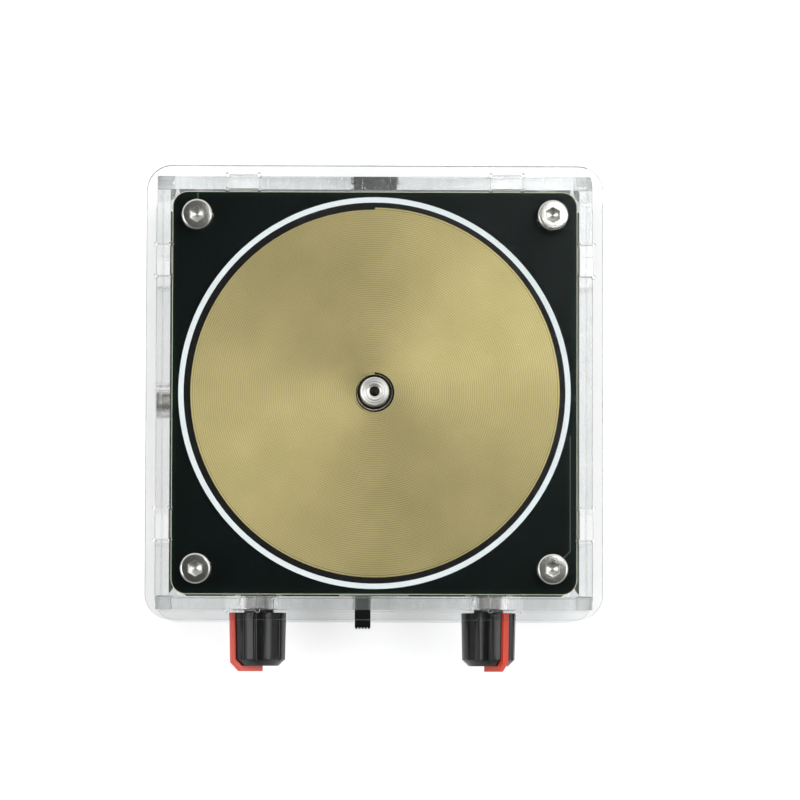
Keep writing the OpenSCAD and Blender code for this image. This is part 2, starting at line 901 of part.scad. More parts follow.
base_plate();
top_plate();
front_wall();
rear_wall();
left_wall();
right_wall();
coil_board();
secondary_winding();
printed_ring();
primary_winding();
discharge_terminal();
terminal_nut();
top_screws();
long_spacers();
driver_board();
short_spacers();
base_screws();
left_potentiometer();
right_potentiometer();
left_shaft();
right_shaft();
left_knob();
right_knob();
left_pointer();
right_pointer();
switch_frame();
switch_lever();
power_socket();
power_contact();
audio_socket();
heat_sink();
power_transistors();
transistor_screws();
capacitors();
feedback_ring();
ring_winding();
controller_chips();
coil_links();
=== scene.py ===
import math

import bmesh
import bpy
from mathutils import Matrix, Vector


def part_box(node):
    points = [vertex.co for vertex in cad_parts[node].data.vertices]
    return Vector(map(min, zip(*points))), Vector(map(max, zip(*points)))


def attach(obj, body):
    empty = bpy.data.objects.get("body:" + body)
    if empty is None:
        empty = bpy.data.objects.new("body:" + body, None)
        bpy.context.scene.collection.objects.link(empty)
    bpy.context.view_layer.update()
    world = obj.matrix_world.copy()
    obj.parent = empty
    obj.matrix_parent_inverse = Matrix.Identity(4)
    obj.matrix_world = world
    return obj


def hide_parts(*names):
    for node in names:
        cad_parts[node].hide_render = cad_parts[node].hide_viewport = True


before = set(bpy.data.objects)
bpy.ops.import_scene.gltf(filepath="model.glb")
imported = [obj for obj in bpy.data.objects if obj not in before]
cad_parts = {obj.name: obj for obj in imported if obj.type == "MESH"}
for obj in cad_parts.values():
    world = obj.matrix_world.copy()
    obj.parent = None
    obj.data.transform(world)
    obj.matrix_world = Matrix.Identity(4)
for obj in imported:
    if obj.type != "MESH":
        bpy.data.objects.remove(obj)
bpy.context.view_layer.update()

# ---- Base plate ----
# A square of 2.7 mm cast acrylic with rounded corners. It is laser-cut, so its faces keep their
# polish and its edges carry fine striations across the sheet. The eight wall tabs stand in its slots.

MM = 0.001
SHARP_TURN = math.radians(30)


def linear(colour):
    """An sRGB hex colour as the linear values that a socket takes."""
    parts = [int(colour[i : i + 2], 16) / 255 for i in (1, 3, 5)]
    return [c / 12.92 if c < 0.04045 else ((c + 0.055) / 1.055) ** 2.4 for c in parts] + [1]


def add(tree, kind, inputs=None, **settings):
    """Adds one node with its settings, and sets its inputs or links them, a list of sockets in turn."""
    made = tree.nodes.new(kind)
    for name, value in settings.items():
        setattr(made, name, value)
    for name, value in (inputs or {}).items():
        sources = value if isinstance(value, list) else [value]
        if isinstance(sources[0], bpy.types.NodeSocket):
            for source in sources:
                tree.links.new(source, made.inputs[name])
        else:
            made.inputs[name].default_value = value
    return made


def new_material(name):
    """A material with an empty tree."""
    made = bpy.data.materials.new(name)
    made.use_nodes = True
    made.node_tree.nodes.clear()
    return made, made.node_tree


def stretched(tree, *steps):
    """Object coordinates measured in millimetre steps: the same along every axis, or one for each."""
    place = add(tree, "ShaderNodeTexCoord").outputs["Object"]
    scale = [1 / (step * MM) for step in steps] * (3 // len(steps))
    return add(tree, "ShaderNodeMapping", {0: place, "Scale": scale}).outputs[0]


def speckle(tree, steps, detail):
    """Noise that changes over steps in millimetres."""
    return add(tree, "ShaderNodeTexNoise",
               {"Vector": stretched(tree, *steps), "Scale": 1, "Detail": detail}).outputs[0]


def ranged(tree, value, from_min, from_max, to_min=0, to_max=1):
    """A value carried from one range to another and held at its ends."""
    return add(tree, "ShaderNodeMapRange",
               {0: value, "From Min": from_min, "From Max": from_max,
                "To Min": to_min, "To Max": to_max}).outputs[0]


def blend(tree, share, *colours):
    """A mix of two colours, each a hex colour or a socket."""
    first, second = [linear(c) if isinstance(c, str) else c for c in colours]
    return add(tree, "ShaderNodeMixRGB", {0: share, 1: first, 2: second}).outputs[0]


def bump(tree, height, depth, strength):
    """The normals of a relief with a depth in millimetres."""
    return add(tree, "ShaderNodeBump",
               {"Height": height, "Distance": depth * MM, "Strength": strength}).outputs[0]


def acrylic(name, dark, light, steps, depth, blur, clear):
    """Cast acrylic with a grain in its tint and its surface. Shadow rays pass straight through it."""
    made, tree = new_material(name)
    grain = speckle(tree, steps, 2)
    tint = blend(tree, ranged(tree, grain, 0.35, 0.65), dark, light)
    sheet = add(tree, "ShaderNodeBsdfPrincipled",
                {"Base Color": tint, "Roughness": blur, "IOR": 1.49, "Transmission Weight": clear,
                 "Normal": bump(tree, grain, depth, 0.6)})
    lamp_ray = add(tree, "ShaderNodeLightPath").outputs["Is Shadow Ray"]
    open_way = add(tree, "ShaderNodeBsdfTransparent", {"Color": linear("#F4F6F6")})
    both = add(tree, "ShaderNodeMixShader", {0: lamp_ray, 1: sheet.outputs[0], 2: open_way.outputs[0]})
    add(tree, "ShaderNodeOutputMaterial", {0: both.outputs[0]})
    return made


def new_object(name, data):
    """An object in the scene."""
    made = bpy.data.objects.new(name, data)
    bpy.context.scene.collection.objects.link(made)
    return made


def rounded(name, node, width, steps, rim_axis=None):
    """A copy of a CAD node with its sharp edges broken: all of them, or only the rims across an axis."""
    made = new_object(name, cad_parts[node].data.copy())
    form = bmesh.new()
    form.from_mesh(made.data)
    bmesh.ops.remove_doubles(form, verts=form.verts, dist=0.001 * MM)
    bmesh.ops.dissolve_limit(form, angle_limit=math.radians(0.5), verts=form.verts, edges=form.edges)
    sharp = [e for e in form.edges if e.is_manifold and e.calc_face_angle() > SHARP_TURN]
    if rim_axis is not None:
        across = "XYZ".index(rim_axis)
        sharp = [e for e in sharp if any(abs(f.normal[across]) > 0.99 for f in e.link_faces)]
    bmesh.ops.bevel(form, geom=sharp, offset=width * MM, segments=steps, profile=0.5,
                    affect="EDGES", clamp_overlap=rim_axis is None)
    form.to_mesh(made.data)
    form.free()
    made.data.shade_smooth()
    made.data.set_sharp_from_angle(angle=SHARP_TURN)
    return made


RIM = 0.05
HAIR = 0.02
STRIATION_W = 0.2
STRIATION_L = 4


def sheet_piece(name, node, axis, hair=0):
    """One acrylic sheet with its rims broken. It is drawn in by a hair where it would share a face."""
    made = rounded(name, node, RIM, 1, rim_axis=axis)
    low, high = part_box(node)
    middle = (low + high) / 2
    scale = Matrix.Diagonal([1 - 2 * hair * MM / size for size in high - low] + [1])
    made.data.transform(Matrix.Translation(middle) @ scale @ Matrix.Translation(-middle))
    made.data.shade_flat()
    made.data.materials.clear()
    made.data.materials.append(polished)
    made.data.materials.append(cut_edge[axis])
    across = "XYZ".index(axis)
    for face in made.data.polygons:
        face.material_index = int(abs(face.normal[across]) < 0.99)
    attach(made, "case")
    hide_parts(node)
    return made


polished = acrylic("cast acrylic, polished face", "#F9FAFA", "#FCFCFC", [9], 0.0005, 0, 1)
# The real striations are about 0.1 mm apart, and are drawn coarser to show. The plates' rims are the greyer
# ones. The walls' edges are seen end on and are clearer, so what is behind them shows through. The side
# walls' edges, across X, are painted whiter than the front and rear walls' edges: painted light from the
# side lamps.
cut_edge = {}
for axis, edge_tint_and_light, clear in (("X", "#FEFEFE", 0.95), ("Y", "#EEF0F0", 0.95), ("Z", "#D8DBDB", 0.86)):
    striations = [STRIATION_L if axis == other else STRIATION_W for other in "XYZ"]
    cut_edge[axis] = acrylic("cast acrylic, laser-cut edge across " + axis, edge_tint_and_light, "#FFFFFF",
                             striations, 0.03, 0.03, clear)
sheet_piece("base_sheet", "base_plate", "Z")

# ---- Screws of the base ----
# Four M3 countersunk screws of nickel-plated steel, with hexagon sockets. They hold the short spacers
# on the base plate, their heads a tenth of a millimetre below its underside.


def coat(tree, looks):
    """Ends a material with one surface."""
    surface = add(tree, "ShaderNodeBsdfPrincipled", looks)
    add(tree, "ShaderNodeOutputMaterial", {0: surface.outputs[0]})


def plated(name, colour, roughness, wear):
    """Nickel plate over steel or brass: a warm grey mirror, dulled in patches by handling and tumbling."""
    made, tree = new_material(name)
    patches = speckle(tree, [2], 3)
    pits = speckle(tree, [0.6], 1)
    film = ranged(tree, patches, 0.4, 0.8, 0, 2 * wear)
    coat(tree, {"Base Color": blend(tree, film, colour, "#8F8B84"), "Metallic": 1,
                "Roughness": ranged(tree, patches, 0.3, 0.7, roughness, roughness + wear),
                "Normal": bump(tree, pits, 0.003, 0.2)})
    return made


def dressed(name, node, width, finish, body="case", steps=2, soft=False):
    """A CAD node with its edges broken and one finish. A soft one has its shading evened out."""
    made = rounded(name, node, width, steps)
    made.data.materials.clear()
    made.data.materials.append(finish)
    if soft:
        weigh = made.modifiers.new("even shading", "WEIGHTED_NORMAL")
        weigh.keep_sharp = True
    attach(made, body)
    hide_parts(node)
    return made


nickel = plated("nickel-plated steel, barrel-finished", "#C4C0B8", 0.16, 0.16)
dressed("base_screw_set", "base_screws", 0.06, nickel)

# ---- Spacers ----
# Six-sided spacers turned from brass bar and nickel-plated: 6 mm ones under the driver board, and 30 mm
# ones on it, whose studs pass through that board. Their ends are chamfered where the bar was parted off.

spacer_plate = plated("nickel-plated brass, drawn bar", "#CFCABF", 0.24, 0.05)
dressed("short_spacer_set", "short_spacers", 0.15, spacer_plate)
dressed("long_spacer_set", "long_spacers", 0.15, spacer_plate)

# ---- Driver board ----
# A sheet of 1.6 mm glass-epoxy laminate under a black solder mask, which is a satin lacquer with a
# greenish depth. The routed edges show the bare laminate.

BORDER = 0.85
WEAVE = 0.6
board_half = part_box("coil_board")[1]


def calc(tree, operation, *values):
    """One sum over numbers and sockets."""
    return add(tree, "ShaderNodeMath", dict(enumerate(values)), operation=operation).outputs[0]


def vector_calc(tree, operation, *values):
    """One sum over vectors. A length and a dot product come back as numbers."""
    made = add(tree, "ShaderNodeVectorMath", dict(enumerate(values)), operation=operation)
    return made.outputs["Value" if operation in ("LENGTH", "DOT_PRODUCT") else "Vector"]


def level_faces(tree):
    """1 where the surface faces up or down, and 0 elsewhere."""
    normal = add(tree, "ShaderNodeTexCoord").outputs["Normal"]
    upward = add(tree, "ShaderNodeSeparateXYZ", {0: normal}).outputs[2]
    return calc(tree, "GREATER_THAN", calc(tree, "ABSOLUTE", upward), 0.8)


def masked_board(name, bare_r):
    """Black solder mask on woven glass laminate, with a paler border and a greyer disc where no copper
    lies under it, and bare laminate at the routed edges."""
    made, tree = new_material(name)
    place = add(tree, "ShaderNodeTexCoord").outputs["Object"]
    part = add(tree, "ShaderNodeSeparateXYZ", {0: place}).outputs
    to_edge = [calc(tree, "SUBTRACT", half, calc(tree, "ABSOLUTE", part[index]))
               for index, half in enumerate(board_half.xy)]
    nearest = calc(tree, "MINIMUM", *to_edge)
    over_copper = ranged(tree, nearest, (BORDER - 0.1) * MM, (BORDER + 0.1) * MM)
    mask = blend(tree, over_copper, "#0A1912", "#040E0C")
    reach = vector_calc(tree, "LENGTH", vector_calc(tree, "MULTIPLY", place, (1, 1, 0)))
    mask = blend(tree, calc(tree, "LESS_THAN", reach, bare_r * MM), mask, "#1A1A19")
    # At a scale of 0.32 a wave repeats once a step, so the cloth's threads lie WEAVE apart.
    threads = [add(tree, "ShaderNodeTexWave",
                   {"Vector": stretched(tree, WEAVE), "Scale": 0.32, "Distortion": 0.3},
                   bands_direction=axis).outputs[1] for axis in "XY"]
    coat(tree, {"Base Color": blend(tree, level_faces(tree), "#D0D1B8", mask),
                "Roughness": 0.26, "Specular IOR Level": 0.1,
                "Normal": bump(tree, calc(tree, "MULTIPLY", *threads), 0.004, 0.35)})
    return made


def paint(node, finish):
    """Gives a CAD node its finish."""
    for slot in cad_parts[node].material_slots:
        slot.material = finish


paint("driver_board", masked_board("black solder mask over glass-epoxy laminate", 0))

# ---- Coil board ----
# The same laminate and mask, under the top plate. A hair-fine earth trace runs under the mask from the
# front right screw, along the right edge, and another ends at the rear left. The bare laminate of the
# routed edge shows as a pale line round the board.

BARE_R = 38.2
ROUTED_BEVEL = 0.15
TRACE_W = 0.2
TRACE_T = 0.035
TRACES = [
    [(37.0, -32.9), (38.6, -31.2), (38.6, -8.6)],
    [(-35.0, 37.6), (-35.0, 39.3)],
]


def mesh_of(name, form):
    """Ends a bmesh and keeps it as a mesh."""
    mesh = bpy.data.meshes.new(name)
    form.to_mesh(mesh)
    form.free()
    return mesh


def smooth(mesh, turn):
    """Smooth shading, broken where the surface turns by more than some degrees."""
    mesh.shade_smooth()
    mesh.set_sharp_from_angle(angle=math.radians(turn))


def new_piece(name, form, finish, turn=None):
    """Turns a bmesh into a piece of the case, with a finish and shading that is smooth up to a turn."""
    made = new_object(name, mesh_of(name, form))
    made.data.materials.append(finish)
    if turn is not None:
        smooth(made.data, turn)
    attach(made, "case")
    return made


def toned(name, steps, detail, dark, light, roughness, depth=0, **more):
    """A finish that wanders between two tones over steps in millimetres. Two roughnesses wander with
    them, and a depth in millimetres gives the surface its relief."""
    made, tree = new_material(name)
    noise = speckle(tree, steps, detail)
    if isinstance(roughness, tuple):
        roughness = ranged(tree, noise, 0.3, 0.7, *roughness)
    if depth:
        more["Normal"] = bump(tree, noise, depth, 0.5)
    coat(tree, {"Base Color": blend(tree, noise, dark, light), "Roughness": roughness, **more})
    return made


def add_block(form, low, high):
    """Adds a box between two corners, in millimetres."""
    size = [h - l for l, h in zip(low, high)]
    middle = [(l + h) / 2 * MM for l, h in zip(low, high)]
    matrix = Matrix.Translation(middle) @ Matrix.Diagonal([s * MM for s in size] + [1])
    return bmesh.ops.create_cube(form, size=1, matrix=matrix)["verts"]


def add_strip(form, start, end, width, low, high):
    """Adds a straight flat bar between two points of the plan, in millimetres."""
    start, end = Vector(start), Vector(end)
    along = end - start
    verts = add_block(form, (-width / 2, -width / 2, low), (along.length + width / 2, width / 2, high))
    turn = Matrix.Rotation(math.atan2(along.y, along.x), 4, "Z")
    bmesh.ops.transform(form, matrix=Matrix.Translation((*(start * MM), 0)) @ turn, verts=verts)


coil_mask = masked_board("black solder mask over an etched coil board", BARE_R)
dressed("coil_board_sheet", "coil_board", ROUTED_BEVEL, coil_mask, steps=1)
coil_top = board_half.z / MM
form = bmesh.new()
for route in TRACES:
    for start, end in zip(route, route[1:]):
        add_strip(form, start, end, TRACE_W, coil_top, coil_top + TRACE_T)
trace_mask = toned("solder mask over a raised copper trace", [0.4], 2, "#36423C", "#4C5A50", 0.3)
new_piece("earth_traces", form, trace_mask)

# ---- Printed ring ----
# A ring of white screen-printed epoxy ink round the winding. The ink lies a twentieth of a millimetre
# thick, with the faint grain of the screen.

SCREEN_THREAD = 0.12
ink = toned("white screen-print ink, epoxy", [SCREEN_THREAD], 3, "#DBE3E5", "#EEF3F4", 0.55, 0.006)
paint("printed_ring", ink)

# ---- Secondary winding ----
# One continuous copper trace of 76 turns, etched and lacquered to an olive gold. Each turn's crown and
# shoulders throw light across the turn, so the disc shows two bright fans that point at the lamps.

COIL_R = 3.6
TURN_PITCH = 0.43
TURNS = 76
COIL_START = math.radians(90)
COIL_TRACE_W = 0.36
COIL_TRACE_H = 0.1
TARNISH = 9
POST_R = 2.85
STEM_HOLE_R = 1.7


def start_tree(name, sizes, counts=()):
    """A geometry tree with a mesh input and a named input for each size, in millimetres, and each count.
    The sizes come back in metres."""
    tree = bpy.data.node_groups.new(name, "GeometryNodeTree")
    for way in ("INPUT", "OUTPUT"):
        tree.interface.new_socket(name="Mesh", in_out=way, socket_type="NodeSocketGeometry")
    for size in (*sizes, *counts):
        tree.interface.new_socket(name=size, in_out="INPUT", socket_type="NodeSocketFloat")
    given = add(tree, "NodeGroupInput").outputs
    read = {name: given[name] for name in ("Mesh", *counts)}
    for size in sizes:
        read[size] = calc(tree, "MULTIPLY", given[size], MM)
    return tree, read


def grow(name, tree, geometry, finish, sizes, seed=None):
    """Ends a geometry tree, runs it once with its sizes in millimetres, and keeps the plain mesh."""
    real = add(tree, "GeometryNodeRealizeInstances", {0: geometry})
    painted = add(tree, "GeometryNodeSetMaterial", {0: real.outputs[0], "Material": finish})
    add(tree, "NodeGroupOutput", {0: painted.outputs[0]})
    made = new_object(name, seed or bpy.data.meshes.new(name))
    modifier = made.modifiers.new(name, "NODES")
    modifier.node_group = tree
    for item in tree.interface.items_tree:
        if item.in_out == "INPUT" and item.name in sizes:
            modifier[item.identifier] = float(sizes[item.name])
    depsgraph = bpy.context.evaluated_depsgraph_get()
    mesh = bpy.data.meshes.new_from_object(made.evaluated_get(depsgraph), depsgraph=depsgraph)
    made.modifiers.remove(modifier)
    made.data = mesh
    return made


def thicken(form, faces, height):
    """Draws faces straight up by a height in millimetres."""
    drawn = bmesh.ops.extrude_face_region(form, geom=faces)["geom"]
    upper = [v for v in drawn if isinstance(v, bmesh.types.BMVert)]
    bmesh.ops.translate(form, verts=upper, vec=(0, 0, height * MM))


def washer(radii, segments, level, height):
    """A flat ring between two radii that stands on a level, in millimetres."""
    form = bmesh.new()
    for radius in radii:
        bmesh.ops.create_circle(form, segments=segments, radius=radius * MM)
    bmesh.ops.bridge_loops(form, edges=form.edges)
    thicken(form, form.faces[:], height)
    bmesh.ops.translate(form, verts=form.verts, vec=(0, 0, level * MM))
    bmesh.ops.recalc_face_normals(form, faces=form.faces)
    return form


lacquer, tree = new_material("etched copper under amber lacquer")
place = add(tree, "ShaderNodeTexCoord").outputs["Object"]
outward = vector_calc(tree, "NORMALIZE", vector_calc(tree, "MULTIPLY", place, (1, 1, 0)))
coat(tree, {"Base Color": blend(tree, speckle(tree, [TARNISH], 3), "#AFA16C", "#BFB17D"),
            "Metallic": 0.7, "Roughness": 0.42, "Anisotropic": 0.5, "Tangent": outward})

tree, size = start_tree("flat spiral trace", ["Start", "Pitch", "Width", "Height", "Level"], ["Turns"])
last = calc(tree, "MULTIPLY_ADD", size["Pitch"], size["Turns"], size["Start"])
path = add(tree, "GeometryNodeCurveSpiral",
           {"Resolution": 96, "Rotations": size["Turns"], "Start Radius": size["Start"],
            "End Radius": last, "Height": 0, "Reverse": True})
upright = add(tree, "GeometryNodeSetCurveNormal", {0: path.outputs[0]}, mode="Z_UP")
section = add(tree, "GeometryNodeCurvePrimitiveQuadrilateral",
              {"Width": size["Width"], "Height": size["Height"]})
shoulder = calc(tree, "MULTIPLY", size["Height"], 0.4)
shoulders = add(tree, "GeometryNodeFilletCurve",
                {0: section.outputs[0], "Radius": shoulder, "Count": 1}, mode="POLY")
trace = add(tree, "GeometryNodeCurveToMesh",
            {0: upright.outputs[0], 1: shoulders.outputs[0], "Fill Caps": True})
lift = add(tree, "ShaderNodeCombineXYZ", {"Z": size["Level"]})
raised = add(tree, "GeometryNodeTransform",
             {0: trace.outputs[0], "Translation": lift.outputs[0], "Rotation": (0, 0, COIL_START)})
both = add(tree, "GeometryNodeJoinGeometry", {0: [raised.outputs[0], size["Mesh"]]})
pad = mesh_of("pad under the terminal", washer((POST_R, STEM_HOLE_R), 64, coil_top, COIL_TRACE_H))
winding = grow("spiral_winding", tree, both.outputs[0], lacquer,
               {"Start": COIL_R + COIL_TRACE_W / 2, "Pitch": TURN_PITCH, "Turns": TURNS,
                "Width": COIL_TRACE_W, "Height": COIL_TRACE_H, "Level": coil_top + COIL_TRACE_H / 2}, pad)
smooth(winding.data, 25)

coil_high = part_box("secondary_winding")[1] / MM
film = washer((COIL_R + TURN_PITCH, coil_high.x - TURN_PITCH), 256, coil_top, COIL_TRACE_H / 2)
amber = toned("amber lacquer between the turns", [TARNISH], 3, "#7D7049", "#94855A", 0.4)
new_piece("lacquer_film", film, amber)
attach(winding, "case")
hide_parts("secondary_winding")

# ---- Primary winding and its links ----
# Three wide turns of bare, faintly stained copper on the coil board's underside, and the two insulated
# wires that feed them from the driver board. The wires' stripped ends are tinned.

STRIPPED = 1.6
paint("primary_winding", toned("bare copper, etched", [3], 4, "#B87A52", "#D79A6C", 0.34, Metallic=1))


def sleeved_wire(name, colour, low, high):
    """Glossy insulation between two levels, and tinned copper past them."""
    made, tree = new_material(name)
    place = add(tree, "ShaderNodeTexCoord").outputs["Object"]
    height = add(tree, "ShaderNodeSeparateXYZ", {0: place}).outputs[2]
    above = calc(tree, "GREATER_THAN", height, low)
    sleeve = calc(tree, "MULTIPLY", above, calc(tree, "LESS_THAN", height, high))
    vinyl = blend(tree, speckle(tree, [1, 1, 6], 2), colour, "#C23A2B")
    coat(tree, {"Base Color": blend(tree, sleeve, "#C9C9C5", vinyl),
                "Metallic": calc(tree, "SUBTRACT", 1, sleeve), "Roughness": 0.32})
    return made


link_low, link_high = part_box("coil_links")
paint("coil_links", sleeved_wire("vinyl-sleeved hook-up wire", "#A82A20",
                                 link_low.z + STRIPPED * MM, link_high.z - STRIPPED * MM))

# ---- Discharge terminal and its nut ----
# A post turned from nickel-plated brass, with a faced end, a deep bore for a needle and a chamfer at the
# mouth. Its stem passes through the coil board, and a six-sided nut holds it from below.

POST_H = 5
POST_CHAMFER = 0.25
MOUTH_CHAMFER = 0.6
MOUTH_DEPTH = 0.36
RECESS_W = 0.4
RECESS_D = 0.05
BORE_R = 1
BORE_DEPTH = 6.5
DRILL_POINT = 0.5
STEM_R = 1.5
STEM_CHAMFER = 0.2
POST_MARK = 0.5


def add_turned(form, rings, count, centre=(0, 0)):
    """Adds a closed turned body from (radius, level) rings in millimetres. A radius may be a function
    of the angle. The first and the last ring close on the axis."""
    loops = []
    for radius, level in rings:
        loop = []
        for k in range(count):
            angle = math.tau * k / count
            r = radius(angle) if callable(radius) else radius
            at = Vector((centre[0] + r * math.cos(angle), centre[1] + r * math.sin(angle), level))
            loop.append(form.verts.new(at * MM))
        loops.append(loop)
    for lower, upper in zip(loops, loops[1:]):
        for k in range(count):
            form.faces.new((lower[k], lower[(k + 1) % count], upper[(k + 1) % count], upper[k]))
    form.faces.new(reversed(loops[0]))
    form.faces.new(loops[-1])


def turned_metal(name, colour, roughness, pitch, depth, corner):
    """Nickel over a face with fine rings left by the lathe tool, drawn coarser than the real 0.05 mm.
    The rings lie about the axis, or about the four corners of a rectangle."""
    made, tree = new_material(name)
    place = add(tree, "ShaderNodeTexCoord").outputs["Object"]
    folded = vector_calc(tree, "ABSOLUTE", place)
    centred = vector_calc(tree, "SUBTRACT", folded, (corner[0] * MM, corner[1] * MM, 0))
    reach = vector_calc(tree, "LENGTH", vector_calc(tree, "MULTIPLY", centred, (1, 1, 0)))
    ridges = calc(tree, "SINE", calc(tree, "MULTIPLY", reach, math.tau / (pitch * MM)))
    coat(tree, {"Base Color": linear(colour), "Metallic": 1,
                "Roughness": ranged(tree, speckle(tree, [0.5], 4), 0.3, 0.7, *roughness),
                "Normal": bump(tree, ridges, depth, 0.8)})
    return made


def repaint(piece, finish, test):
    """Gives a second finish to the faces whose middle, in millimetres, passes a test."""
    piece.data.materials.append(finish)
    last = len(piece.data.materials) - 1
    for face in piece.data.polygons:
        if test(face.center / MM):
            face.material_index = last


stem_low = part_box("discharge_terminal")[0].z / MM
post_foot = coil_high.z
post_top = post_foot + POST_H
mouth_r = BORE_R + MOUTH_CHAMFER
form = bmesh.new()
add_turned(form, [
    (STEM_R - STEM_CHAMFER, stem_low), (STEM_R, stem_low + STEM_CHAMFER), (STEM_R, post_foot),
    (POST_R, post_foot), (POST_R, post_top - POST_CHAMFER),
    (POST_R - 0.1, post_top - POST_CHAMFER / 3), (POST_R - POST_CHAMFER, post_top),
    (mouth_r + RECESS_W + RECESS_D, post_top), (mouth_r + RECESS_W, post_top - RECESS_D),
    (mouth_r, post_top - RECESS_D), (BORE_R, post_top - MOUTH_DEPTH),
    (BORE_R, post_top - BORE_DEPTH + DRILL_POINT), (0.05, post_top - BORE_DEPTH),
], 96)
post_metal = turned_metal("nickel-plated brass, faced on the lathe", "#E0E0DC", (0.3, 0.4),
                          POST_MARK, 0.03, (0, 0))
post = new_piece("terminal_post", form, post_metal, turn=20)
# The bore's faces are a darker grey than the post's. This is partly the bare drilled brass and partly
# painted shade down the deep bore.
bore_metal_and_shade = plated("brass, drilled bore, with painted shade", "#B8B6AC", 0.3, 0.1)
repaint(post, bore_metal_and_shade, lambda at: at.xy.length < BORE_R and at.z < post_top - MOUTH_DEPTH)
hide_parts("discharge_terminal")
dressed("terminal_hex_nut", "terminal_nut", 0.1, nickel)

# ---- Screws of the top plate ----
# Four M3 socket screws. Each head has a knurled side, a faced top, a bright rolled rim and a pressed
# hexagon with a drilled bottom. The heads stand on the top plate and the threads end in the long spacers.

HEAD_R = 3
HEAD_H = 3
HEAD_ROUND = 0.42
KNURL = 0.07
KNURLS = 36
HEX_AF = 2.5
HEX_DEPTH = 1.5
HEX_FLARE = 0.35
HEX_LEAD = 0.16
DRILL_R = 0.95
SCREW_R = 1.5
CORE_R = 1.2
THREAD = 0.5
TOOL_MARK = 0.16


def hexagon(width):
    """The radius of a hexagon of that width across its flats, at an angle."""
    third = math.pi / 3
    return lambda angle: width / 2 / math.cos((angle + third / 2) % third - third / 2)


def knurled(angle):
    """The radius of the knurled side at an angle."""
    return HEAD_R - KNURL * abs(math.sin(KNURLS * angle / 2))


screw_low, screw_high = (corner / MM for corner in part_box("top_screws"))
corner = (screw_high.x - HEAD_R, screw_high.y - HEAD_R)
plate_top = screw_high.z - HEAD_H
slopes = [math.radians(angle) for angle in (10, 27, 45, 63, 80)]
rim = [(HEAD_R - HEAD_ROUND * (1 - math.cos(a)), screw_high.z - HEAD_ROUND * (1 - math.sin(a)))
       for a in slopes]
form = bmesh.new()
add_turned(form, [
    (CORE_R - 0.05, screw_low.z), (CORE_R, screw_low.z + 0.05), (CORE_R, plate_top),
    (HEAD_R - 0.15, plate_top), (HEAD_R - 0.1, plate_top + 0.15), (knurled, plate_top + 0.3),
    (knurled, screw_high.z - HEAD_ROUND - 0.15), (HEAD_R - 0.02, screw_high.z - HEAD_ROUND), *rim,
    (HEAD_R - HEAD_ROUND, screw_high.z),
    (hexagon(HEX_AF + HEX_FLARE), screw_high.z), (hexagon(HEX_AF), screw_high.z - HEX_LEAD),
    (hexagon(HEX_AF), screw_high.z - HEX_DEPTH), (DRILL_R, screw_high.z - HEX_DEPTH - 0.05),
    (0.02, screw_high.z - HEX_DEPTH - 0.5),
], 144)
one_screw = mesh_of("one screw", form)

tree, size = start_tree("screws at the corners", ["Span X", "Span Y", "Radius", "Length", "Pitch", "Foot"])
turns = calc(tree, "DIVIDE", size["Length"], size["Pitch"])
helix = add(tree, "GeometryNodeCurveSpiral",
            {"Resolution": 32, "Rotations": turns, "Start Radius": size["Radius"],
             "End Radius": size["Radius"], "Height": size["Length"]})
half_pitch = calc(tree, "MULTIPLY", size["Pitch"], 0.5)
ridge = add(tree, "GeometryNodeCurvePrimitiveCircle", {"Resolution": 4, "Radius": half_pitch})
thread = add(tree, "GeometryNodeCurveToMesh", {0: helix.outputs[0], 1: ridge.outputs[0], "Fill Caps": True})
foot = add(tree, "ShaderNodeCombineXYZ", {"Z": size["Foot"]})
placed = add(tree, "GeometryNodeTransform", {0: thread.outputs[0], "Translation": foot.outputs[0]})
whole = add(tree, "GeometryNodeJoinGeometry", {0: [placed.outputs[0], size["Mesh"]]})
corners = add(tree, "GeometryNodeMeshGrid",
              {"Size X": size["Span X"], "Size Y": size["Span Y"], "Vertices X": 2, "Vertices Y": 2})
spots = add(tree, "GeometryNodeMeshToPoints", {0: corners.outputs[0]})
copies = add(tree, "GeometryNodeInstanceOnPoints", {0: spots.outputs[0], "Instance": whole.outputs[0]})
screw_metal = turned_metal("nickel-plated steel, faced head", "#CECEC8", (0.18, 0.22),
                           TOOL_MARK, 0.001, corner)
screws = grow("socket_screw_set", tree, copies.outputs[0], screw_metal,
              {"Span X": 2 * corner[0], "Span Y": 2 * corner[1], "Radius": SCREW_R - THREAD / 2,
               "Length": plate_top - screw_low.z - THREAD, "Pitch": THREAD,
               "Foot": screw_low.z + THREAD / 2}, one_screw)
smooth(screws.data, 22)


def in_socket(at):
    """Whether a point is inside a screw's hexagon, below its mouth."""
    reach = math.hypot(abs(at.x) - corner[0], abs(at.y) - corner[1])
    return plate_top < at.z < screw_high.z - 0.1 and reach < HEX_AF / 2 + 0.1


repaint(screws, plated("nickel plate, pressed socket", "#D2D2CC", 0.26, 0.1), in_socket)
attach(screws, "case")
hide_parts("top_screws")

# ---- Potentiometers and their shafts ----
# Two 9 mm potentiometers: a phenolic body, a pressed steel cover, a threaded zinc bush and three tinned
# pins bent down to the board. A plastic shaft with one flat turns in each bush.

COVER_DEPTH = 3.6
PIN_DEPTH = 1.95
PIN_PITCH = 2.5


def moulded(name, colour, light, roughness, grain, height, gloss=0.5):
    """Moulded plastic: a dyed body whose skin has the fine grain of its tool."""
    return toned(name, [grain], 3, colour, light, (roughness - 0.05, roughness + 0.06), height,
                 **{"IOR": 1.5, "Specular IOR Level": gloss})


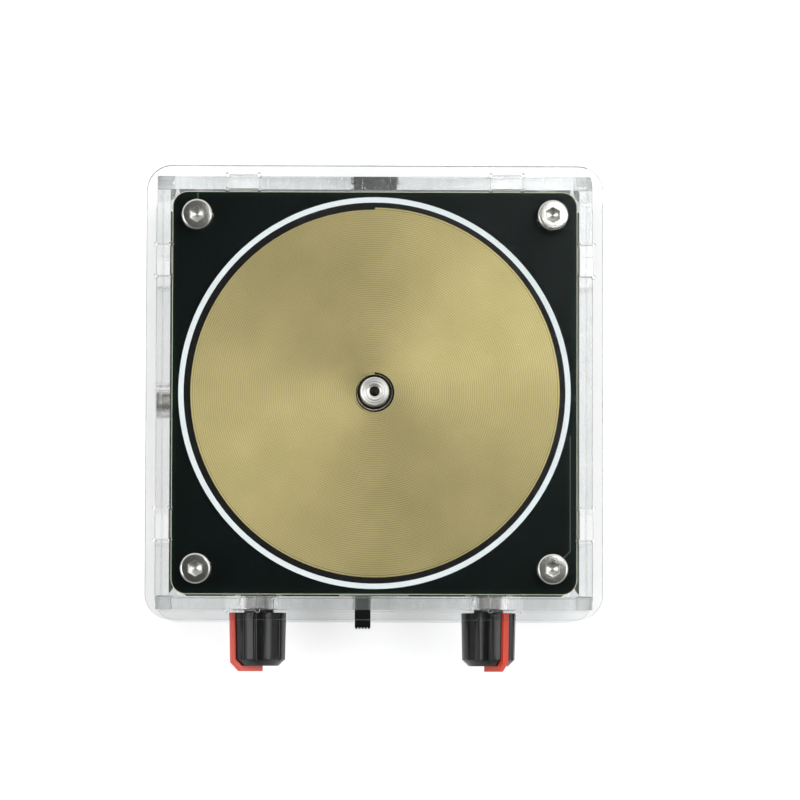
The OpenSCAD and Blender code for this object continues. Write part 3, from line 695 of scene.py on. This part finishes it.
phenolic = moulded("phenolic moulding", "#1E1B19", "#2A2623", 0.4, 0.3, 0.01)
tin = plated("tinned brass pin", "#D2D2CE", 0.28, 0.15)
zinc = plated("die-cast zinc, tumbled", "#A9A8A4", 0.3, 0.2)
shaft_plastic = moulded("glass-filled nylon", "#171818", "#222323", 0.45, 0.2, 0.01)
for side in ("left", "right"):
    pot = dressed(side + "_pot_body", side + "_potentiometer", 0.08, phenolic)
    pot_low, pot_high = (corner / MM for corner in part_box(side + "_potentiometer"))
    repaint(pot, zinc, lambda at: at.y < pot_low.y + COVER_DEPTH)
    repaint(pot, tin, lambda at: at.y > pot_high.y - PIN_DEPTH)
    paint(side + "_shaft", shaft_plastic)

# ---- Knobs and pointers ----
# Push-on knobs moulded in satin black, with flutes round the grip, and an orange-red strip of the same
# plastic snapped into a groove along the side and over the nose.

knob_black = moulded("ABS, moulded satin", "#0E0F0F", "#161717", 0.22, 0.16, 0.004, 0.36)
pointer_red = moulded("ABS, moulded gloss, orange-red", "#F03F28", "#F85A40", 0.32, 0.2, 0.004)
for side in ("left", "right"):
    body = side + "_control"
    dressed(side + "_grip", side + "_knob", 0.14, knob_black, body, steps=3, soft=True)
    dressed(side + "_index", side + "_pointer", 0.12, pointer_red, body, steps=3, soft=True)

# ---- Slide switch ----
# A tin-plated frame folded round a black nylon carriage. The lever's end is cut back between five round
# teeth, which give the finger a grip.

TOOTH_R = 0.24
TOOTH_STEP = 0.63
TOOTH_DEPTH = 0.34
tinplate = plated("tin-plated sheet steel", "#C8C8C6", 0.3, 0.2)
dressed("switch_shell", "switch_frame", 0.1, tinplate)
lever_nylon = moulded("nylon, moulded", "#090A0A", "#121313", 0.42, 0.15, 0.01, 0.25)
lever = dressed("switch_slider", "switch_lever", 0.07, lever_nylon, "mode_slider")
low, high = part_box("switch_lever")
teeth = bmesh.new()
teeth.from_mesh(lever.data)
for vert in teeth.verts:
    vert.co.y = max(vert.co.y, low.y + TOOTH_DEPTH * MM)
for k in range(-2, 3):
    spot = ((low.x + high.x) / 2 + k * TOOTH_STEP * MM, low.y + TOOTH_R * MM, (low.z + high.z) / 2)
    bmesh.ops.create_cone(teeth, cap_ends=True, segments=20, radius1=TOOTH_R * MM, radius2=TOOTH_R * MM,
                          depth=high.z - low.z - 0.1 * MM, matrix=Matrix.Translation(spot))
teeth.to_mesh(lever.data)
teeth.free()

# ---- Sockets ----
# The power socket is a black moulding with a round centre contact, open at the rear wall. The audio
# socket's nickel-plated barrel passes through the left wall.

socket_black = moulded("PBT, moulded", "#101111", "#1C1D1D", 0.36, 0.25, 0.008)
dressed("power_inlet_shell", "power_socket", 0.15, socket_black)
paint("power_contact", tin)
audio_jack = dressed("audio_jack", "audio_socket", 0.12, socket_black)
wall_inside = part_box("left_wall")[1].x / MM
repaint(audio_jack, nickel, lambda at: at.x < wall_inside)

# ---- Heat sink and power transistors ----
# A comb of extruded aluminium, anodised black, with fine lines from the die. Two transistors in flat
# packages are screwed to its front. Each has a moulded body, a tinned tab and three tinned legs.

BODY_LOW = 4
BODY_HIGH = 13
anodised = toned("extruded aluminium, black anodised", [0.25, 0.25, 12], 3,
                 "#1A1B1D", "#2B2C2F", 0.42, 0.01, Metallic=0.5)
dressed("finned_sink", "heat_sink", 0.08, anodised)

epoxy = moulded("epoxy moulding compound", "#1B1B1C", "#29292A", 0.5, 0.12, 0.008)
legs_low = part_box("power_transistors")[0] / MM
transistors = dressed("transistor_pair", "power_transistors", 0.1, epoxy)
repaint(transistors, tin, lambda at: not BODY_LOW - 0.05 < at.z - legs_low.z < BODY_HIGH + 0.15)
paint("transistor_screws", nickel)

# ---- Capacitors ----
# Two electrolytic cans in glossy dark shrink sleeves, with a pale stripe down the negative side. Each
# can has a bead near its foot, and the aluminium lid in its rim is scored with a cross.

CAN_R = 5
BEAD_H = 2
LID_R = 4.1
LID_DEPTH = 0.3
SCORE = 0.25
SCORE_DEPTH = 0.14
can_low, can_high = (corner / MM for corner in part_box("capacitors"))
cans = [(x, (can_low.y + can_high.y) / 2) for x in (can_low.x + CAN_R, can_high.x - CAN_R)]
sleeve, tree = new_material("PVC shrink sleeve, gloss")
place = add(tree, "ShaderNodeTexCoord").outputs["Object"]
part = add(tree, "ShaderNodeSeparateXYZ", {0: place}).outputs
stripe_y = cans[0][1] + 0.85 * CAN_R
far = calc(tree, "GREATER_THAN", part[1], stripe_y * MM)
film = speckle(tree, [2, 2, 8], 2)
dark = blend(tree, film, "#141A2C", "#1E2740")
coat(tree, {"Base Color": blend(tree, far, dark, "#AEB4BC"), "Roughness": 0.22,
            "Normal": bump(tree, film, 0.03, 0.3)})
form = bmesh.new()
for centre in cans:
    foot, top = can_low.z, can_high.z
    add_turned(form, [
        (CAN_R - 0.5, foot), (CAN_R - 0.1, foot + 0.15), (CAN_R, foot + 0.5),
        (CAN_R, foot + BEAD_H - 0.6), (CAN_R - 0.25, foot + BEAD_H - 0.2), (CAN_R - 0.35, foot + BEAD_H),
        (CAN_R - 0.25, foot + BEAD_H + 0.2), (CAN_R, foot + BEAD_H + 0.6),
        (CAN_R, top - 0.5), (CAN_R - 0.15, top - 0.15), (CAN_R - 0.45, top),
        (LID_R + 0.15, top - 0.05), (LID_R, top - LID_DEPTH), (0.02, top - LID_DEPTH),
    ], 64, centre)
can_set = new_piece("capacitor_cans", form, sleeve, turn=40)
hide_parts("capacitors")
form = bmesh.new()
for x, y in cans:
    for quarter in range(4):
        arc = [Vector((SCORE / 2, SCORE / 2))]
        for k in range(13):
            a = math.radians(7.5 * k)
            arc.append(arc[0] + (LID_R - 0.4) * Vector((math.cos(a), math.sin(a))))
        turn = Matrix.Rotation(math.radians(90 * quarter + 45), 2)
        spots = [Vector((x, y)) + turn @ point for point in arc]
        level = can_high.z - LID_DEPTH - 0.02
        face = form.faces.new([form.verts.new(Vector((*p, level)) * MM) for p in spots])
        thicken(form, [face], SCORE_DEPTH)
bmesh.ops.recalc_face_normals(form, faces=form.faces)
lid_metal = plated("aluminium, deep-drawn", "#C2C4C6", 0.32, 0.12)
new_piece("capacitor_lids", form, lid_metal)

# ---- Feedback ring ----
# A ring of matt black sintered ferrite, which senses the current at the coil's foot. Its eight turns
# are copper wire under glossy amber enamel.

WIRE_R = 0.38
LOOPS = 8
ferrite = moulded("sintered ferrite", "#202123", "#303134", 0.55, 0.35, 0.02)
dressed("ferrite_core", "feedback_ring", 0.3, ferrite, soft=True)
core_low, core_high = (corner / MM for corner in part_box("feedback_ring"))
core_r = (core_high.x - core_low.x) / 2
enamel = toned("copper wire under amber enamel", [0.6], 2, "#A85A2C", "#C8763E", 0.25,
               **{"Metallic": 0.9, "Coat Weight": 0.6})
tree, size = start_tree("wire turns on a ring",
                        ["Mean Radius", "Width", "Height", "Bend", "Wire Radius", "X", "Y", "Z"])
loop = add(tree, "GeometryNodeCurvePrimitiveQuadrilateral",
           {"Width": size["Width"], "Height": size["Height"]})
bent = add(tree, "GeometryNodeFilletCurve", {0: loop.outputs[0], "Radius": size["Bend"], "Count": 4},
           mode="POLY")
wire = add(tree, "GeometryNodeCurvePrimitiveCircle", {"Resolution": 12, "Radius": size["Wire Radius"]})
turn = add(tree, "GeometryNodeCurveToMesh", {0: bent.outputs[0], 1: wire.outputs[0]})
out = add(tree, "ShaderNodeCombineXYZ", {"X": size["Mean Radius"]})
stood = add(tree, "GeometryNodeTransform",
            {0: turn.outputs[0], "Translation": out.outputs[0], "Rotation": (math.pi / 2, 0, 0)})
spots = add(tree, "GeometryNodeMeshLine", {"Count": LOOPS, "Offset": (0, 0, 0)})
index = add(tree, "GeometryNodeInputIndex").outputs[0]
swing = add(tree, "ShaderNodeCombineXYZ", {"Z": calc(tree, "MULTIPLY", index, math.tau / LOOPS)})
fan = add(tree, "GeometryNodeInstanceOnPoints",
          {0: spots.outputs[0], "Instance": stood.outputs[0], "Rotation": swing.outputs[0]})
middle = add(tree, "ShaderNodeCombineXYZ", {axis: size[axis] for axis in "XYZ"})
placed = add(tree, "GeometryNodeTransform", {0: fan.outputs[0], "Translation": middle.outputs[0]})
centre = (core_low + core_high) / 2
loops = grow("feedback_turns", tree, placed.outputs[0], enamel,
             {"Mean Radius": core_r * 0.75, "Width": core_r / 2 + 2 * WIRE_R + 0.1,
              "Height": core_high.z - core_low.z + 2 * WIRE_R, "Bend": 1.6 * WIRE_R,
              "Wire Radius": WIRE_R, "X": centre.x, "Y": centre.y, "Z": centre.z})
loops.data.shade_smooth()
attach(loops, "case")
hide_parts("ring_winding")

# ---- Controller chips ----
# Three chips in matt black moulded packages. Tinned gull-wing pins down both sides are soldered to the
# driver board.

CHIP_W = 3.9
CHIP_MIDDLES = (0, 12, -6)
chips = dressed("controller_chip_set", "controller_chips", 0.06, epoxy)
repaint(chips, tin, lambda at: min(abs(at.x - x) for x in CHIP_MIDDLES) > CHIP_W / 2 + 0.02)

# ---- Chip resistors and capacitors ----
# Small ceramic blocks with tinned ends, soldered flat on the driver board beside the controller chips.
# Some are glazed black and some are tan.

PART_L = 1.3
PART_W = 1.2
PART_H = 0.6
END_CAP = 0.35
TIN_SIDE = 0.02
TIN_TOP = 0.03
PART_STEP = (4.4, 4.2)
PART_PATCHES = {"front_right": (10, -29, 3, 3), "front_left": (-18, -30, 2, 3)}
board_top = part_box("driver_board")[1].z / MM

glaze, tree = new_material("glazed ceramic, black or tan")
pick = calc(tree, "GREATER_THAN", speckle(tree, [5, 5, 50], 0), 0.5)
coat(tree, {"Base Color": blend(tree, pick, "#17181A", "#A98B66"), "Roughness": 0.35})


def rows_of(name, shape, finish, x, y, columns, rows):
    """Copies one small mesh over a grid on the driver board, each copy turned or not by chance."""
    span = (PART_STEP[0] * (columns - 1), PART_STEP[1] * (rows - 1))
    tree, size = start_tree(name, ["X", "Y", "Z", "Span X", "Span Y"])
    grid = add(tree, "GeometryNodeMeshGrid",
               {"Size X": size["Span X"], "Size Y": size["Span Y"],
                "Vertices X": columns, "Vertices Y": rows})
    spots = add(tree, "GeometryNodeMeshToPoints", {0: grid.outputs[0]})
    chance = add(tree, "FunctionNodeRandomValue", {"Min": 0.0, "Max": 1.0, "Seed": 4}, data_type="FLOAT")
    turned = calc(tree, "GREATER_THAN", chance.outputs[1], 0.5)
    turn = add(tree, "ShaderNodeCombineXYZ", {"Z": calc(tree, "MULTIPLY", turned, math.pi / 2)})
    parts = add(tree, "GeometryNodeInstanceOnPoints",
                {0: spots.outputs[0], "Instance": size["Mesh"], "Rotation": turn.outputs[0]})
    move = add(tree, "ShaderNodeCombineXYZ", {axis: size[axis] for axis in "XYZ"})
    placed = add(tree, "GeometryNodeTransform", {0: parts.outputs[0], "Translation": move.outputs[0]})
    return grow(name, tree, placed.outputs[0], finish,
                {"X": x + span[0] / 2, "Y": y + span[1] / 2, "Z": board_top,
                 "Span X": span[0], "Span Y": span[1]}, shape)


def block_mesh(name, *blocks):
    """A mesh of boxes, each given by two corners in millimetres."""
    form = bmesh.new()
    for low, high in blocks:
        add_block(form, low, high)
    return mesh_of(name, form)


half_l, half_w = PART_L / 2, PART_W / 2
tip = half_l + END_CAP
caps_w, caps_h = half_w + TIN_SIDE, PART_H + TIN_TOP
for patch, (x, y, columns, rows) in PART_PATCHES.items():
    ceramic = block_mesh("ceramic body", ((-half_l, -half_w, TIN_TOP), (half_l, half_w, PART_H)))
    caps = block_mesh("end caps", ((-tip, -caps_w, 0), (-half_l, caps_w, caps_h)),
                      ((half_l, -caps_w, 0), (tip, caps_w, caps_h)))
    for name, shape, finish in (("bodies", ceramic, glaze), ("ends", caps, tin)):
        made = rows_of(f"chip_part_{name}_{patch}", shape, finish, x, y, columns, rows)
        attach(made, "case")

# ---- Solder joints ----
# Bright fillets where the legs, pins and wires meet the driver board, and the domes on its underside
# where they come through. Joints that lie under a part show only as domes.

FILLET = [(0.75, 0), (0.6, 0.12), (0.42, 0.4), (0.36, 0.6)]
DOME = [(0.3, -1.1), (0.5, -0.95), (0.75, -0.5), (0.95, -0.12), (1.0, 0)]
PIN_INSET = 0.25
LEG_INSET = 1.95
LEG_PITCH = 2.54
LINK_INSET = 0.6
LEAD_HALF = 2.5
TRANSISTOR_X = 9
SWITCH_PINS = [(-3, -36.8), (0, -36.8), (3, -36.8)]
POWER_PINS = [(0, 30.5), (0, 36), (3.6, 33)]
AUDIO_PINS = [(-34, 0), (-31, 0)]
pot_low, pot_high = (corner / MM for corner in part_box("right_potentiometer"))
pot_x = (pot_low.x + pot_high.x) / 2
shown = [(link_low.x / MM + LINK_INSET, 0), (link_high.x / MM - LINK_INSET, 0)]
for side in (-1, 1):
    for k in (-1, 0, 1):
        shown.append((side * (pot_x + k * PIN_PITCH), pot_high.y - PIN_INSET))
        shown.append((side * TRANSISTOR_X + k * LEG_PITCH, legs_low.y + LEG_INSET))
hidden = [(x + k * LEAD_HALF, y) for x, y in cans for k in (-1, 1)]
hidden += SWITCH_PINS + POWER_PINS + AUDIO_PINS
solder = toned("lead-free solder", [0.5], 3, "#B9BBBB", "#DADBD9", 0.3, 0.02, Metallic=1)


def joints(name, shape, level, spots):
    """Copies one turned drop of solder to every spot at a level."""
    form = bmesh.new()
    add_turned(form, shape, 16)
    tree, size = start_tree(name, ["Level"])
    marks = []
    for x, y in spots:
        mark = add(tree, "GeometryNodeMeshLine", {"Count": 1, "Start Location": (x * MM, y * MM, 0)})
        marks.append(mark.outputs[0])
    points = add(tree, "GeometryNodeJoinGeometry", {0: marks})
    copies = add(tree, "GeometryNodeInstanceOnPoints", {0: points.outputs[0], "Instance": size["Mesh"]})
    move = add(tree, "ShaderNodeCombineXYZ", {"Z": size["Level"]})
    placed = add(tree, "GeometryNodeTransform", {0: copies.outputs[0], "Translation": move.outputs[0]})
    made = grow(name, tree, placed.outputs[0], solder, {"Level": level}, mesh_of("drop", form))
    made.data.shade_smooth()
    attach(made, "case")


joints("solder_fillets", FILLET, board_top, shown)
joints("solder_domes", DOME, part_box("driver_board")[0].z / MM, shown + hidden)

# ---- Walls ----
# Four sheets of the same acrylic stand in the slots of both plates and lock into each other by fingers
# at the corners. The front wall has holes for the bushes and a slot for the lever.

sheet_piece("front_sheet", "front_wall", "Y", HAIR)
sheet_piece("rear_sheet", "rear_wall", "Y", HAIR)
sheet_piece("left_sheet", "left_wall", "X", HAIR)
sheet_piece("right_sheet", "right_wall", "X", HAIR)

# ---- Top plate ----
# The sheet that closes the box. It has the same slots, four screw holes and a round hole for the
# terminal, and it lies a tenth of a millimetre above the winding.

sheet_piece("top_sheet", "top_plate", "Z")

# ---- Studio ----
# A plain white table a hair below the base, in a white tent that is brightest behind and open at the
# top. A small round lamp stands high at the rear right, and a broad one on either side.

TABLE_GAP = 0.2
form = bmesh.new()
bmesh.ops.create_grid(form, x_segments=1, y_segments=1, size=6)
bmesh.ops.translate(form, vec=(0, 0, -TABLE_GAP * MM), verts=form.verts)
table = new_object("table", mesh_of("table", form))
table_paper, tree = new_material("white matt paper")
ray = add(tree, "ShaderNodeLightPath").outputs
glow = calc(tree, "MULTIPLY", ray["Is Camera Ray"], 0.6)
total = calc(tree, "MULTIPLY_ADD", ray["Is Glossy Ray"], 0.45, glow)
matt = add(tree, "ShaderNodeBsdfDiffuse", {0: linear("#E8E8E8")})
light = add(tree, "ShaderNodeEmission", {0: (1, 1, 1, 1), 1: total})
both = add(tree, "ShaderNodeAddShader", {0: matt.outputs[0], 1: light.outputs[0]})
add(tree, "ShaderNodeOutputMaterial", {0: both.outputs[0]})
table.data.materials.append(table_paper)

studio = bpy.data.worlds.new("studio")
bpy.context.scene.world = studio
studio.use_nodes = True
tree = studio.node_tree
tree.nodes.clear()
way = add(tree, "ShaderNodeTexCoord").outputs["Generated"]
height = add(tree, "ShaderNodeSeparateXYZ", {0: way}).outputs[2]
open_top = ranged(tree, height, 0.55, 0.985, 1, 0.03)
to_rear = vector_calc(tree, "DOT_PRODUCT", way, (0.1, 0.99, 0))
tent = calc(tree, "MULTIPLY", ranged(tree, to_rear, -0.7, 0.7, 0.3, 1.35), open_top)
seen = add(tree, "ShaderNodeLightPath").outputs["Is Camera Ray"]
level = add(tree, "ShaderNodeMix", {0: seen, 2: tent, 3: 1.0})
sky = add(tree, "ShaderNodeBackground", {0: (1, 1, 1, 1), 1: level.outputs[0]})
add(tree, "ShaderNodeOutputWorld", {0: sky.outputs[0]})


def round_lamp(name, azimuth, elevation, distance, size, power):
    """A round lamp aimed at the middle of the coil. Azimuth runs from +X towards +Y."""
    aim = Vector((0, 0, 0.04))
    a, e = math.radians(azimuth), math.radians(elevation)
    way = Vector((math.cos(e) * math.cos(a), math.cos(e) * math.sin(a), math.sin(e)))
    lamp = bpy.data.lights.new(name, "AREA")
    lamp.shape = "DISK"
    lamp.size = size
    lamp.energy = power
    made = new_object(name, lamp)
    made.location = aim + way * distance
    made.rotation_euler = way.to_track_quat("Z", "Y").to_euler()


round_lamp("key_lamp", 44, 74.2, 0.9, 0.2, 0.95)
round_lamp("right_lamp", 0, 48, 1.0, 0.5, 2.2)
round_lamp("left_lamp", 190, 50, 1.0, 0.5, 2.25)

# ---- Camera ----
# It looks almost straight down from just under a metre, a little in front of the case, through a long
# lens. Its place is in metres and its turn in radians.

view = bpy.data.cameras.new("camera")
view.sensor_width = 36
view.lens = 208.02
camera = new_object("camera", view)
camera.location = (-0.000958, -0.055173, 0.952657)
camera.rotation_euler = (0.05897, -0.006735, 0.002629)
bpy.context.scene.camera = camera
bpy.context.scene.view_settings.view_transform = "Standard"
